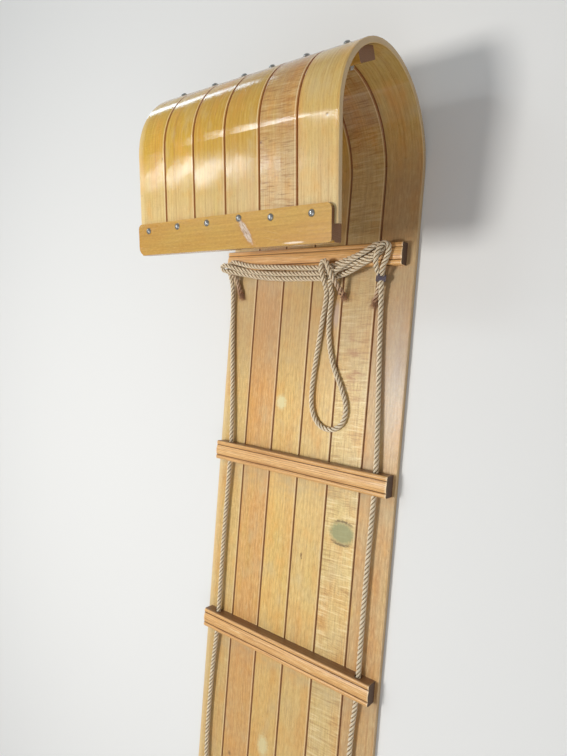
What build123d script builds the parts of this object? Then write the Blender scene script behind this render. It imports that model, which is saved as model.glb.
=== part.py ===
from build123d import *
from math import cos, radians, sin, tan
import os

# A wooden toboggan, in millimetres, lying flat as it parks.
# +X is the rider's right, +Y points to the curled nose and +Z is up.
# The origin is under the middle of its length, on the floor.

# Whole sled and its slats
overall_length = 1829.0
tail_setback = 75.0        # of the last crossbar's middle, from the slats' tails
slat_count = 6
slat_width = 67.0
slat_gap = 0.8
slat_thickness = 9.0
slat_edge_radius = 1.6

# The curl: two arcs of the slats' outer face, then a straight lip that slopes down to the rear
lower_curl_radius = 145.0
upper_curl_radius = 119.0
lip_slope = 7.5
lip_length = 141.5

# Crossbars with a moulded face, laid on the deck
crossbar_length = 390.0
crossbar_width = 37.0
crossbar_height = 23.0
front_crossbar_height = 19.0
bead_width = 19.0          # the wide bead along the middle
bead_drop = 1.8            # how far the moulded face falls from its crown to a groove
groove_step = 1.2
edge_bead_drop = 2.8
crossbars = [
    # (setback of its middle from the nose, offset to the right, height)
    (272.0, -8.0, front_crossbar_height),
    (657.0, 2.0, crossbar_height),
    (1010.0, 1.0, crossbar_height),
    (1382.0, 0.0, crossbar_height),
    (overall_length - tail_setback, 1.0, crossbar_height),
]

# Holes near a crossbar's ends, for the side ropes
rope_hole_diameter = 12.5
rope_hole_inset = 28.0
rope_hole_height = 9.5

# Nose board outside the slats' ends, rabbeted nose bar inside them, crest bar inside the curl
nose_board_length = 398.0
nose_board_width = 51.5
nose_board_thickness = 7.0
nose_board_lap = 27.0      # how far it reaches over the slats
nose_board_offset = -2.0
nose_board_corner_radii = {
    # (side, edge): the board is sawn by hand, and its corners differ
    ("left", "front"): 8.0,
    ("left", "rear"): 14.0,
    ("right", "front"): 9.0,
    ("right", "rear"): 5.0,
}
nose_bar_thickness = 8.0
nose_bar_lap = 26.0
nose_bar_edge_radius = 3.0
crest_bar_length = 388.0
crest_bar_width = 44.0
crest_bar_thickness = 18.0
crest_bar_angle = 60.0     # from straight up, round the upper arc's centre towards the nose
crest_bar_edge_radius = 3.0

# Ropes
rope_diameter = 9.5
knot_diameter = 27.0
rope_sag = 2.0             # how far a side rope sags between crossbars
hole_lead = 24.0           # a side rope is straight this far each side of a crossbar's middle
tape_length = 13.0
tape_thickness = 1.0
tape_setback = 40.0        # behind the front crossbar's middle
hank_edge_radius = 5.5
seat_gap = 0.3             # a soft piece's clearance from what it lies on
fit_gap = 0.2              # a wooden piece's clearance from the curved slats

# Worked out from the sizes above
nose_y = overall_length / 2
tail_y = -overall_length / 2
deck_width = slat_count * slat_width + (slat_count - 1) * slat_gap
lower_centre = (nose_y - lower_curl_radius, lower_curl_radius)
upper_centre = (nose_y - upper_curl_radius, lower_curl_radius)
lip_angle = radians(lip_slope)
rope_radius = rope_diameter / 2
rope_on_deck = slat_thickness + rope_radius + seat_gap
rope_on_bar = slat_thickness + front_crossbar_height + rope_radius + seat_gap
hole_z = slat_thickness + rope_hole_height
hole_reach = crossbar_length / 2 - rope_hole_inset


def turned(centre, radius, angle):
    """A point round a centre in the Y-Z plane, its angle from straight up towards the nose."""
    return (centre[0] + radius * sin(angle), centre[1] + radius * cos(angle))


def lip_point(along, out):
    """A point of the lip: along it from the end of the upper arc, and outward from the slats' face."""
    start = turned(upper_centre, upper_curl_radius, -lip_angle)
    return (
        start[0] - along * cos(lip_angle) - out * sin(lip_angle),
        start[1] - along * sin(lip_angle) + out * cos(lip_angle),
    )


def bent_outline(depth):
    """The slat's side view at one depth inside its outer face, as a wire in the Y-Z plane."""
    low = lower_curl_radius - depth
    high = upper_curl_radius - depth
    with BuildLine(Plane.YZ) as line:
        Line((tail_y, depth), (lower_centre[0], depth))
        ThreePointArc(
            (lower_centre[0], depth),
            turned(lower_centre, low, radians(135)),
            turned(lower_centre, low, radians(90)),
        )
        ThreePointArc(
            turned(upper_centre, high, radians(90)),
            turned(upper_centre, high, radians(45)),
            turned(upper_centre, high, -lip_angle),
        )
        Line(lip_point(0, -depth), lip_point(lip_length, -depth))
    return line.wire()


def slat(index):
    """One steam-bent slat: a strip with eased edges, swept along the sled's side view."""
    middle = (index - (slat_count - 1) / 2) * (slat_width + slat_gap)
    path = bent_outline(slat_thickness / 2)
    section = Plane(origin=(0, tail_y, slat_thickness / 2), x_dir=(1, 0, 0), z_dir=(0, 1, 0))
    strip = sweep(section * RectangleRounded(slat_width, slat_thickness, slat_edge_radius), path=path)
    return Pos(middle, 0, 0) * strip


def across(outline, length, offset):
    """A flat outline in the Y-Z plane, extruded across the sled about an offset to the right."""
    return Pos(offset - length / 2, 0, 0) * extrude(outline, amount=length, dir=(1, 0, 0))


def crossbar_profile(y, crown):
    """A crossbar's end view: one wide bead between two narrow ones, above a square lower half."""
    half = crossbar_width / 2
    bead = bead_width / 2
    groove = crown - bead_drop
    floor = groove - groove_step
    edge = crown - edge_bead_drop
    with BuildSketch(Plane.YZ) as sketch:
        with BuildLine():
            Line((y - half, edge), (y - half, slat_thickness))
            Line((y - half, slat_thickness), (y + half, slat_thickness))
            Line((y + half, slat_thickness), (y + half, edge))
            for side in (1, -1):
                ThreePointArc(
                    (y + side * half, edge),
                    (y + side * (half + bead) / 2, crown - 0.6),
                    (y + side * (bead + 0.6), floor),
                )
                Line((y + side * (bead + 0.6), floor), (y + side * bead, groove))
            ThreePointArc((y - bead, groove), (y, crown), (y + bead, groove))
        make_face()
    return sketch.sketch


def crossbar(setback, offset, height):
    """A moulded crossbar with a rope hole near each end."""
    y = nose_y - setback
    bar = across(crossbar_profile(y, slat_thickness + height), crossbar_length, offset)
    for side in (1, -1):
        drill = Cylinder(rope_hole_diameter / 2, 2 * crossbar_width, rotation=(90, 0, 0))
        bar -= Pos(offset + side * hole_reach, y, hole_z) * drill
    return bar


def nose_board():
    """The plank outside the slats' ends, its four corners rounded."""
    first = lip_length - nose_board_lap
    corners = [
        lip_point(first, 0),
        lip_point(first + nose_board_width, 0),
        lip_point(first + nose_board_width, nose_board_thickness),
        lip_point(first, nose_board_thickness),
    ]
    outline = Plane.YZ * make_face(Polyline(*corners, close=True))
    board = across(outline, nose_board_length, nose_board_offset)
    normal = Vector(0, -sin(lip_angle), cos(lip_angle))
    short_edges = [e for e in board.edges() if abs(abs((e % 0).dot(normal)) - 1) < 0.001]
    middle_y = board.center().Y
    for edge in short_edges:
        side = "left" if edge.center().X < nose_board_offset else "right"
        end = "front" if edge.center().Y > middle_y else "rear"
        nearest = board.edges().sort_by_distance(edge.center())[0]
        board = fillet(nearest, nose_board_corner_radii[side, end])
    return board


def nose_bar():
    """The bar inside the curl's end, rabbeted so that the slats' ends lie in it."""
    first = lip_length - nose_bar_lap
    last = lip_length + nose_board_width - nose_board_lap
    inner = -slat_thickness - nose_bar_thickness
    corners = [
        lip_point(first, -slat_thickness),
        lip_point(lip_length, -slat_thickness),
        lip_point(lip_length, 0),
        lip_point(last, 0),
        lip_point(last, inner),
        lip_point(first, inner),
    ]
    outline = Plane.YZ * make_face(Polyline(*corners, close=True))
    bar = across(outline, nose_board_length, nose_board_offset)
    long_edges = bar.edges().filter_by(Axis.X).sort_by(Axis.Z)[:2]
    return fillet(long_edges, nose_bar_edge_radius)


def crest_bar():
    """The bar inside the curl's crest, its outer face planed to the slats' bend."""
    radius = upper_curl_radius - slat_thickness - fit_gap
    middle = radians(crest_bar_angle)
    half = crest_bar_width / 2 / radius
    inward = (-crest_bar_thickness * sin(middle), -crest_bar_thickness * cos(middle))
    first = turned(upper_centre, radius, middle - half)
    last = turned(upper_centre, radius, middle + half)
    with BuildSketch(Plane.YZ) as sketch:
        with BuildLine():
            ThreePointArc(first, turned(upper_centre, radius, middle), last)
            Line(last, (last[0] + inward[0], last[1] + inward[1]))
            Line((last[0] + inward[0], last[1] + inward[1]), (first[0] + inward[0], first[1] + inward[1]))
            Line((first[0] + inward[0], first[1] + inward[1]), first)
        make_face()
    bar = across(sketch.sketch, crest_bar_length, 0)
    inner_edges = bar.edges().filter_by(Axis.X).sort_by(
        lambda e: (e @ 0.5).Y * sin(middle) + (e @ 0.5).Z * cos(middle)
    )[:2]
    return fillet(inner_edges, crest_bar_edge_radius)


def route(name, points):
    """A rope's middle line: straight runs joined by arcs as large as the runs allow."""
    corners = [Vector(*p) for p in points]
    radii = []
    for before, corner, after in zip(corners, corners[1:], corners[2:]):
        turn = radians((corner - before).get_angle(after - corner))
        shorter = min((corner - before).length, (after - corner).length)
        radii.append(0.45 * shorter / tan(turn / 2))
    path = FilletPolyline(*corners, radius=radii)
    print(name, "length", round(path.length), "radii", [round(r) for r in radii])
    return path


def rope(name, points, diameter):
    """A rope or hank with a round section along its route."""
    path = route(name, points)
    tube = sweep(Plane(origin=path @ 0, z_dir=path % 0) * Circle(diameter / 2), path=path)
    print(name, "volume over section times length", round(tube.volume / (path.length * Circle(diameter / 2).area), 4))
    return tube


def bar_y(number):
    """The middle of a crossbar, counted from the nose."""
    return nose_y - crossbars[number - 1][0]


def hole_x(number, side):
    """The middle of a crossbar's rope hole: side is 1 at the right and -1 at the left."""
    return crossbars[number - 1][1] + side * hole_reach


def end_knot(side):
    """A stopper knot that lies on the deck, against the last crossbar's rear face."""
    radius = knot_diameter / 2
    y = bar_y(5) - crossbar_width / 2 - seat_gap - radius
    # turned so that the ball's seam stays clear of the rope
    ball = Sphere(radius, rotation=(0, 0, 45))
    return Pos(hole_x(5, side), y, slat_thickness + seat_gap + radius) * ball


# The side ropes run through the crossbars from a stopper knot behind the last one.
front_y = bar_y(1)
rear_face = bar_y(5) - crossbar_width / 2
side_rope_spans = [
    # (crossbar behind the span, place along the span, left rope's sway, right rope's sway)
    (5, 0.45, -5.0, 4.0),
    (4, 0.35, -9.0, -3.0),
    (4, 0.75, -6.0, -5.0),
    (3, 0.55, -3.0, -2.0),
]


def side_route(side):
    """A side rope's points as far as the second crossbar: straight through each hole, slack between."""
    sway_column = 2 if side < 0 else 3
    knot_x = hole_x(5, side)
    points = [
        (knot_x + 29 * side, rear_face - 28, rope_on_deck),
        (knot_x + 19 * side, rear_face - 17, rope_on_deck),
        (knot_x + 3 * side, rear_face - 17, hole_z + 1),
    ]
    for number in (5, 4, 3, 2):
        x, y = hole_x(number, side), bar_y(number)
        points.append((x, y - hole_lead, hole_z))
        points.append((x + 0.1 * side, y + hole_lead, hole_z))
        for span in side_rope_spans:
            if span[0] == number:
                place = y + span[1] * (bar_y(number - 1) - y)
                points.append((x + span[sway_column], place, hole_z - rope_sag))
    return points


# The left one climbs over the front crossbar's end and leads into the pull rope.
left_points = side_route(-1) + [
    (-175.5, front_y - 251, rope_on_deck + 2),
    (-186.0, front_y - 160, rope_on_deck + 1),
    (-191.5, front_y - 90, rope_on_deck + 1.5),
    (-194.0, front_y - 45, rope_on_deck + 3.5),
    (-194.0, front_y - 24, rope_on_bar - 3.5),
    (-192.0, front_y - 12, rope_on_bar + 1),
    (-189.0, front_y - 6, rope_on_bar),
]
# The right one hooks over the pull rope's far fold, comes back down and is taped to itself.
right_points = side_route(1) + [
    (160.0, front_y - 235, rope_on_deck + 2.5),
    (152.5, front_y - 125, rope_on_deck + 2.5),
    (151.0, front_y - 78, rope_on_deck + 4),
    (151.4, front_y - 50, rope_on_bar - 10.5),
    (153.2, front_y - 34, rope_on_bar - 5.5),
    (157.0, front_y - 23, rope_on_bar + 0.5),
    (162.2, front_y - 10, rope_on_bar + 0.5),
    (166.5, front_y + 3, rope_on_bar + 0.5),
    (166.0, front_y + 13, rope_on_bar + 2),
    (159.0, front_y + 16, rope_on_bar + 6),
    (152.5, front_y + 8, rope_on_bar + 10.5),
    (149.5, front_y - 4, rope_on_bar + 11),
    (147.0, front_y - 16, rope_on_bar + 8),
    (144.2, front_y - 26, rope_on_bar - 2.5),
    (145.4, front_y - 35, rope_on_deck + 4.5),
    (145.6, front_y - 44, rope_on_deck + 2.8),
]

# The pull rope is stowed as a hank of four passes along the front crossbar, wrapped in the middle,
# with one long loop left hanging.
hank_sections = [
    # (x, y from the front crossbar's middle, z, width, height, tilt up towards the nose)
    (-206.0, -15.5, 41.0, 17.0, 12.0, 20.0),
    (-185.0, -15.0, 37.5, 28.0, 16.0, 12.0),
    (-155.0, -18.5, 31.0, 30.0, 14.0, 18.0),
    (-118.0, -23.5, 25.5, 34.0, 14.0, 40.0),
    (-25.0, -27.0, 23.0, 36.0, 15.0, 44.0),
    (20.0, -28.5, 25.5, 35.0, 14.0, 42.0),
    (62.0, -27.5, 31.5, 33.0, 17.0, 20.0),
    (98.0, -15.5, 36.5, 33.0, 17.0, 4.0),
    (135.0, -1.5, 37.0, 32.0, 17.0, 2.0),
    (160.0, 7.0, 35.0, 16.0, 12.0, 0.0),
]
# The wrap's outline from the side (y, z) and from above (x, y), from the front crossbar's middle
wrap_side = [
    (-4, 41), (-8, 48.5), (-16, 53.5), (-37, 54.5), (-50, 44),
    (-62, 28.5), (-73, 21), (-75, 9.3), (-20, 9.3),
]
wrap_plan = [(35.5, -2), (57, -2), (72, -34), (80, -66), (79, -77), (35.5, -77)]
loop_points = [
    (39.5, front_y - 66, rope_on_deck + 2.5),
    (33.0, front_y - 108, rope_on_deck),
    (27.0, front_y - 165, rope_on_deck),
    (21.0, front_y - 225, rope_on_deck),
    (22.0, front_y - 275, rope_on_deck),
    (40.0, front_y - 304, rope_on_deck),
    (70.0, front_y - 311, rope_on_deck),
    (94.0, front_y - 295, rope_on_deck),
    (99.0, front_y - 265, rope_on_deck),
    (84.0, front_y - 230, rope_on_deck),
    (62.0, front_y - 193, rope_on_deck),
    (50.0, front_y - 150, rope_on_deck),
    (46.0, front_y - 108, rope_on_deck),
    (51.0, front_y - 66, rope_on_deck + 2.5),
]
left_tail_points = [
    (-183.5, front_y - 27, rope_on_bar - 3),
    (-183.0, front_y - 36, rope_on_deck + 5),
    (-180.0, front_y - 47, rope_on_deck + 0.5),
    (-172.0, front_y - 66, rope_on_deck),
]
right_tail_points = [
    (145.6, front_y - 44, rope_on_deck + 2.8),
    (142.0, front_y - 60, rope_on_deck),
    (137.0, front_y - 80, rope_on_deck),
]


def hank():
    """The stowed pull rope's outer shape: the passes lofted along the crossbar, and the wrap."""
    sections = [
        Plane(
            origin=(x, front_y + y, z),
            x_dir=(0, cos(radians(tilt)), sin(radians(tilt))),
            z_dir=(1, 0, 0),
        ) * RectangleRounded(width, height, hank_edge_radius)
        for x, y, z, width, height, tilt in hank_sections
    ]
    passes = loft(sections, ruled=True)
    side = make_face(Polyline(*[(front_y + y, z) for y, z in wrap_side], close=True))
    plan = make_face(Polyline(*[(x, front_y + y) for x, y in wrap_plan], close=True))
    seen_from_side = extrude(Plane.YZ * side, amount=deck_width, both=True)
    seen_from_above = extrude(plan, amount=overall_length / 2)
    return passes + (seen_from_side & seen_from_above)


def seated(soft):
    """A soft piece, trimmed to lie on the deck and on the front crossbar."""
    bar = Pos(crossbars[0][1], front_y, slat_thickness + front_crossbar_height / 2) * Box(
        crossbar_length + 2 * seat_gap,
        crossbar_width + 2 * seat_gap,
        front_crossbar_height + 2 * seat_gap,
    )
    below_deck = Pos(0, front_y, slat_thickness + seat_gap - deck_width) * Box(
        2 * deck_width, 2 * deck_width, 2 * deck_width
    )
    return (soft - bar - below_deck).solids().sort_by(SortBy.VOLUME)[-1]


def rope_place(points, y):
    """The place where a rope's straight runs first pass a distance along the sled."""
    for before, after in zip(points, points[1:]):
        if min(before[1], after[1]) <= y <= max(before[1], after[1]):
            share = (y - before[1]) / (after[1] - before[1])
            return Vector(*before) + (Vector(*after) - Vector(*before)) * share


def tape(bound_rope):
    """The band of tape round the right side rope and its own end, behind the front crossbar."""
    y = front_y - tape_setback
    upper, lower = rope_place(right_points, y), rope_place(right_points[::-1], y)
    across_ropes = upper - lower
    along = across_ropes.cross(Vector(0, -across_ropes.Z, 1)).normalized()
    along = along if along.Y > 0 else -along
    band_height = 2 * (rope_radius + tape_thickness)
    middle = Plane(origin=(upper + lower) * 0.5 - along * tape_length / 2, x_dir=across_ropes, z_dir=along)
    outline = middle * SlotCenterToCenter(across_ropes.length, band_height)
    return extrude(outline, amount=tape_length) - bound_rope


def ropes():
    """Every rope, cut where it meets the hank so that the two lie face to face."""
    stowed = seated(hank())
    left = rope("side_rope_left", left_points, rope_diameter) + end_knot(-1)
    right = rope("side_rope_right", right_points, rope_diameter) + end_knot(1)
    stowed -= left
    stowed -= right
    tail_left = rope("rope_tail_left", left_tail_points, rope_diameter) - stowed - left
    tail_right = rope("rope_tail_right", right_tail_points, rope_diameter) - right
    band = tape(right) - stowed
    loop = rope("pull_rope_loop", loop_points, rope_diameter) - stowed
    return {
        "side_rope_left": left,
        "side_rope_right": right,
        "pull_rope_hank": stowed,
        "pull_rope_loop": loop,
        "rope_tail_left": tail_left,
        "rope_tail_right": tail_right - band,
        "tape_band": band,
    }


parts = {}
for number in range(slat_count):
    parts[f"slat_{number + 1}"] = slat(number)
for number, (setback, offset, height) in enumerate(crossbars, start=1):
    parts[f"crossbar_{number}"] = crossbar(setback, offset, height)
parts["nose_board"] = nose_board()
parts["nose_bar"] = nose_bar()
parts["crest_bar"] = crest_bar()
parts.update(ropes())

os.makedirs("parts", exist_ok=True)
for name, shape in parts.items():
    export_step(shape, f"parts/{name}.step")
    print(name, "solids", len(shape.solids()), "volume", round(shape.volume))
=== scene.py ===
from functools import reduce
from itertools import product
from math import cos, pi, radians, sin

import bpy
import numpy as np
from mathutils import Matrix, Vector, kdtree


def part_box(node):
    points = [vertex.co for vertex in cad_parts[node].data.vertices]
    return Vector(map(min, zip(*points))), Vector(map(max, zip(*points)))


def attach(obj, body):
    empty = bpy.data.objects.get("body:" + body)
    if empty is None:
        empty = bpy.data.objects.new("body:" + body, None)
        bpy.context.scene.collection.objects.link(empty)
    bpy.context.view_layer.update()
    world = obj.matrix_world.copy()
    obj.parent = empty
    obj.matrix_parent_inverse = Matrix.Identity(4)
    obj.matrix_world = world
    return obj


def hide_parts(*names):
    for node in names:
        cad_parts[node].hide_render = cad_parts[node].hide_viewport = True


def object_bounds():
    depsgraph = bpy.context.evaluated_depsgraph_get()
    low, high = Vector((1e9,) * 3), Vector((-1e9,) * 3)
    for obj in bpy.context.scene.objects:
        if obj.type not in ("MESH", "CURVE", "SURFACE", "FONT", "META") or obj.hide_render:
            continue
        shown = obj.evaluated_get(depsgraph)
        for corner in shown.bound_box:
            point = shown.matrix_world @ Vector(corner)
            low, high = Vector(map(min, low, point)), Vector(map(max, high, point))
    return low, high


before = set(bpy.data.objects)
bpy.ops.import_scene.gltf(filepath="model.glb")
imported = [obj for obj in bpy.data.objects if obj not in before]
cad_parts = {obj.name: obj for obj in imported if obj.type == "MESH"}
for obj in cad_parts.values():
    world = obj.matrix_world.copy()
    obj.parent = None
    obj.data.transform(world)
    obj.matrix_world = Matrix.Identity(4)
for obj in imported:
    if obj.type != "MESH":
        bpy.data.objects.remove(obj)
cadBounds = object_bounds()
print("frame loaded,", len(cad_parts), "nodes")

# The camera looks down on the sled from its right side, nose end at the top of the picture
cameraView = {
    "place": (0.6196, 0.4641, 0.8713),
    "forward": (-0.6132, -0.0429, -0.7887),
    "down": (0.0872, -0.9961, -0.0136),
    "focalPixels": 568.0,
    "framePixels": (567, 756),
    "sensorMm": 36.0,
}


def addCamera(view):
    forward = Vector(view["forward"]).normalized()
    right = Vector(view["down"]).cross(forward).normalized()
    down = forward.cross(right)
    data = bpy.data.cameras.new("photoCamera")
    data.sensor_width = view["sensorMm"]
    data.lens = view["focalPixels"] / max(view["framePixels"]) * view["sensorMm"]
    data.clip_start = 0.01
    camera = bpy.data.objects.new("photoCamera", data)
    turn = Matrix((right, -down, -forward)).transposed()
    camera.matrix_world = Matrix.Translation(view["place"]) @ turn.to_4x4()
    bpy.context.scene.collection.objects.link(camera)
    bpy.context.scene.camera = camera


addCamera(cameraView)

# Where things are, from the frame
frontLow, frontHigh = (np.array(c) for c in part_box("crossbar_1"))
deckTop = frontLow[2]
frontY = (frontLow[1] + frontHigh[1]) / 2
barY = {n: float(np.mean([c[1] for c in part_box(f"crossbar_{n}")])) for n in range(1, 6)}
barX = {n: float(np.mean([c[0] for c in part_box(f"crossbar_{n}")])) for n in range(1, 6)}


def linked(obj):
    bpy.context.scene.collection.objects.link(obj)
    return obj


# A mesh from whole arrays: points (n, 3), rows of point numbers, and a UV pair and values for each point
def meshPiece(name, points, faces, uv=None, attributes=(), smooth=True):
    mesh = bpy.data.meshes.new(name)
    mesh.from_pydata(points.tolist(), [], faces)
    if uv is not None:
        corners = np.empty(len(mesh.loops), dtype=np.int32)
        mesh.loops.foreach_get("vertex_index", corners)
        layer = mesh.uv_layers.new(name="surface")
        layer.data.foreach_set("uv", uv[corners].astype(np.float32).ravel())
    for label, values in attributes:
        made = mesh.attributes.new(label, "FLOAT", "POINT")
        made.data.foreach_set("value", values.astype(np.float32))
    mesh.polygons.foreach_set("use_smooth", np.full(len(mesh.polygons), smooth))
    mesh.update()
    return linked(bpy.data.objects.new(name, mesh))


ropeShape = {
    "diameter": 0.0095,
    "lay": 0.026,                 # one turn of a strand
    "strandRadius": 0.00222,
    "strandWidening": 1.14,       # strands press flat against each other
    "unevenness": 0.05,
    "opening": 0.9,               # how far the strands spread at a cut end
    "step": 0.0017,
    "sides": 10,
    "aboveDeck": 0.0002,
    "hairEvery": 0.0032,
    "hairRadius": 0.00009,
    "hairLength": (0.002, 0.006),
    "hairLift": 0.0020,
    "hairRoot": 0.0006,
    "tuftRadius": 0.00016,
    "tuftLength": 0.017,
    "tuftSpread": 0.0044,
    "tuftRoot": (0.003, 0.0017),  # back along the rope and out from its middle
    "tuftAboveDeck": 0.0004,
}
holeZ = deckTop + 0.0095
holeReach = 0.167
holeLead = 0.024


def holeX(number, side):
    return barX[number] + side * holeReach


# The points that a NURBS spline of order 3 follows, its ends on the first and last control point
def smoothLine(name, points):
    data = bpy.data.curves.new(name, "CURVE")
    data.dimensions = "3D"
    data.resolution_u = 24
    spline = data.splines.new("NURBS")
    spline.points.add(len(points) - 1)
    for point, place in zip(spline.points, points):
        point.co = (*place, 1.0)
    spline.order_u = 3
    spline.use_endpoint_u = True
    curve = linked(bpy.data.objects.new(name, data))
    bpy.context.view_layer.update()
    mesh = bpy.data.meshes.new_from_object(curve)
    line = np.empty(3 * len(mesh.vertices))
    mesh.vertices.foreach_get("co", line)
    bpy.data.objects.remove(curve)
    bpy.data.meshes.remove(mesh)
    return line.reshape(-1, 3)


# The same line at equal steps along it, and the distance of each point from its start
def evenly(line, step):
    runs = np.linalg.norm(np.diff(line, axis=0), axis=1)
    kept = np.concatenate([[True], runs > 1e-9])
    line = line[kept]
    along = np.concatenate([[0.0], np.cumsum(np.linalg.norm(np.diff(line, axis=0), axis=1))])
    count = max(int(round(along[-1] / step)), 4) + 1
    at = np.linspace(0.0, along[-1], count)
    return np.stack([np.interp(at, along, line[:, k]) for k in range(3)], axis=1), at


# Tangent, and two normals that are carried along the line without twisting (double reflection)
def carriedFrames(line):
    tangent = np.gradient(line, axis=0)
    tangent /= np.linalg.norm(tangent, axis=1, keepdims=True)
    first = np.cross(tangent[0], (0.0, 0.0, 1.0))
    if np.linalg.norm(first) < 1e-3:
        first = np.array((1.0, 0.0, 0.0))
    normal = np.empty_like(line)
    normal[0] = first / np.linalg.norm(first)
    for i in range(1, len(line)):
        carried = normal[i - 1] - tangent[i] * (normal[i - 1] @ tangent[i])
        normal[i] = carried / np.linalg.norm(carried)
    return tangent, normal, np.cross(tangent, normal)


# Rings about every centre and the quads between them: centre + radius * (cos a * across + sin a * up)
def ringed(centres, across, up, radii, sides):
    count, rings = centres.shape[:2]
    angle = np.linspace(0.0, 2 * pi, sides, endpoint=False)
    ring = across[..., None, :] * np.cos(angle)[:, None] + up[..., None, :] * np.sin(angle)[:, None]
    points = (centres[..., None, :] + radii[..., None, None] * ring).reshape(-1, 3)
    i, j, k = np.meshgrid(np.arange(count), np.arange(rings - 1), np.arange(sides), indexing="ij")
    base = (i * rings + j) * sides
    near, far = base + k, base + (k + 1) % sides
    return points, np.stack([near, far, far + sides, near + sides], axis=-1).reshape(-1, 4), angle


# Closed tubes, one for each row of centres; the UV pair is the length along and the share of a turn
def tubes(centres, across, up, radii, along, sides):
    count, rings = centres.shape[:2]
    points, quads, angle = ringed(centres, across, up, radii, sides)
    turnsRound = np.broadcast_to(angle / (2 * pi), (count, rings, sides))
    lengths = np.broadcast_to(along[..., None], (count, rings, sides))
    uv = np.stack([lengths.ravel(), turnsRound.ravel()], axis=1)
    ends = centres[:, [0, -1]].reshape(-1, 3)
    endUv = np.stack([along[:, [0, -1]].ravel(), np.full(2 * count, 0.5)], axis=1)
    caps = []
    for strand in range(count):
        for side, ringAt in ((0, 0), (1, rings - 1)):
            pole = len(points) + 2 * strand + side
            edge = (strand * rings + ringAt) * sides + np.arange(sides)
            following = np.roll(edge, -1)
            pair = (following, edge) if side == 0 else (edge, following)
            caps.append(np.stack([pair[0], pair[1], np.full(sides, pole)], axis=1))
    return np.concatenate([points, ends]), quads, np.concatenate(caps), np.concatenate([uv, endUv])


# The ways out of the rope and round it at an angle: cos a * normal + sin a * binormal, and a quarter turn on
def roundRope(angle, normal, binormal):
    c, s = np.cos(angle)[..., None], np.sin(angle)[..., None]
    return c * normal + s * binormal, c * binormal - s * normal


# Three strands laid round the line: centre + h * way out at p, where p = 2 pi s / lay
def laidRope(line, shape, fray=(0.0, 0.0), seed=1):
    line, along = evenly(line, shape["step"])
    tangent, normal, binormal = carriedFrames(line)
    helix = shape["diameter"] / 2 - shape["strandRadius"]
    opening = np.ones_like(along)
    for reach, distance in ((fray[0], along), (fray[1], along[-1] - along)):
        if reach:
            opening += shape["opening"] * np.clip(1 - distance / reach, 0, 1) ** 1.6
    phase = 2 * pi * (along / shape["lay"] + np.arange(3)[:, None] / 3)
    outward, sideways = roundRope(phase, normal, binormal)
    centres = line + (helix * opening)[:, None] * outward
    radii = np.full(phase.shape, shape["strandRadius"])
    draw = np.random.default_rng(seed)
    wander = np.cumsum(draw.normal(0, 1, phase.shape), axis=1)
    wander -= np.linspace(0, 1, phase.shape[1]) * wander[:, -1:]
    radii *= 1 + shape["unevenness"] * wander / max(np.abs(wander).max(), 1e-9)
    lengths = np.broadcast_to(along, phase.shape) + np.arange(3)[:, None] * 0.37
    made = tubes(centres, outward, sideways * shape["strandWidening"], radii, lengths, shape["sides"])
    return made, (line, tangent, normal, binormal, along)


# Three-sided tubes along each row of path that taper to a third: radius * (1 - 0.7 t)
def fibreTubes(path, radius):
    total, rings = path.shape[:2]
    way = np.gradient(path, axis=1)
    way /= np.linalg.norm(way, axis=2, keepdims=True)
    aside = np.cross(way, (0.31, 0.52, 0.79))
    aside /= np.linalg.norm(aside, axis=2, keepdims=True)
    sides = 3
    radii = np.broadcast_to(radius * (1.0 - 0.7 * np.linspace(0, 1, rings)), (total, rings))
    points, quads, unused = ringed(path, aside, np.cross(way, aside), radii, sides)
    first = np.arange(total) * rings * sides
    last = first + (rings - 1) * sides
    caps = np.concatenate([np.stack([first, first + 2, first + 1], axis=1),
                           np.stack([last, last + 1, last + 2], axis=1)])
    uv = np.stack([np.repeat(np.arange(total) * 0.013, rings * sides), np.full(len(points), 0.5)], axis=1)
    return points, quads, caps, uv


# Loose fibres that leave the rope and bend back along it: root + way * t + outward * lift * sin(0.75 pi t)
def hairs(frames, shape, count, seed):
    line, tangent, normal, binormal, unused = frames
    draw = np.random.default_rng(seed)
    at = draw.integers(0, len(line), count)
    turn = draw.uniform(0, 2 * pi, count)
    outward, sideways = roundRope(turn, normal[at], binormal[at])
    way = tangent[at] * draw.choice((-1, 1), count)[:, None] + sideways * draw.uniform(-0.5, 0.5, (count, 1))
    reach = draw.uniform(*shape["hairLength"], count)
    lift = draw.uniform(0.2, 1.0, count) * shape["hairLift"]
    t = np.linspace(0, 1, 5)
    root = line[at] + outward * (shape["diameter"] / 2 - shape["hairRoot"])
    path = (root[:, None] + way[:, None] * (reach[:, None] * t)[..., None]
            + outward[:, None] * (lift[:, None] * np.sin(pi * 0.75 * t))[..., None])
    return fibreTubes(path, shape["hairRadius"])


# One mesh from groups of points, quads, triangles, UV pairs, outward values and closeness to a cut end
def ropeMesh(name, groups):
    polygons, shift = [], 0
    for points, quads, caps, *unused in groups:
        polygons += (quads + shift).tolist() + (caps + shift).tolist()
        shift += len(points)
    points, quads, caps, uv, outward, ending = zip(*groups)
    attributes = [("outward", np.concatenate(outward)), ("ending", np.concatenate(ending))]
    return meshPiece(name, np.concatenate(points), polygons, np.concatenate(uv), attributes)


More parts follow.
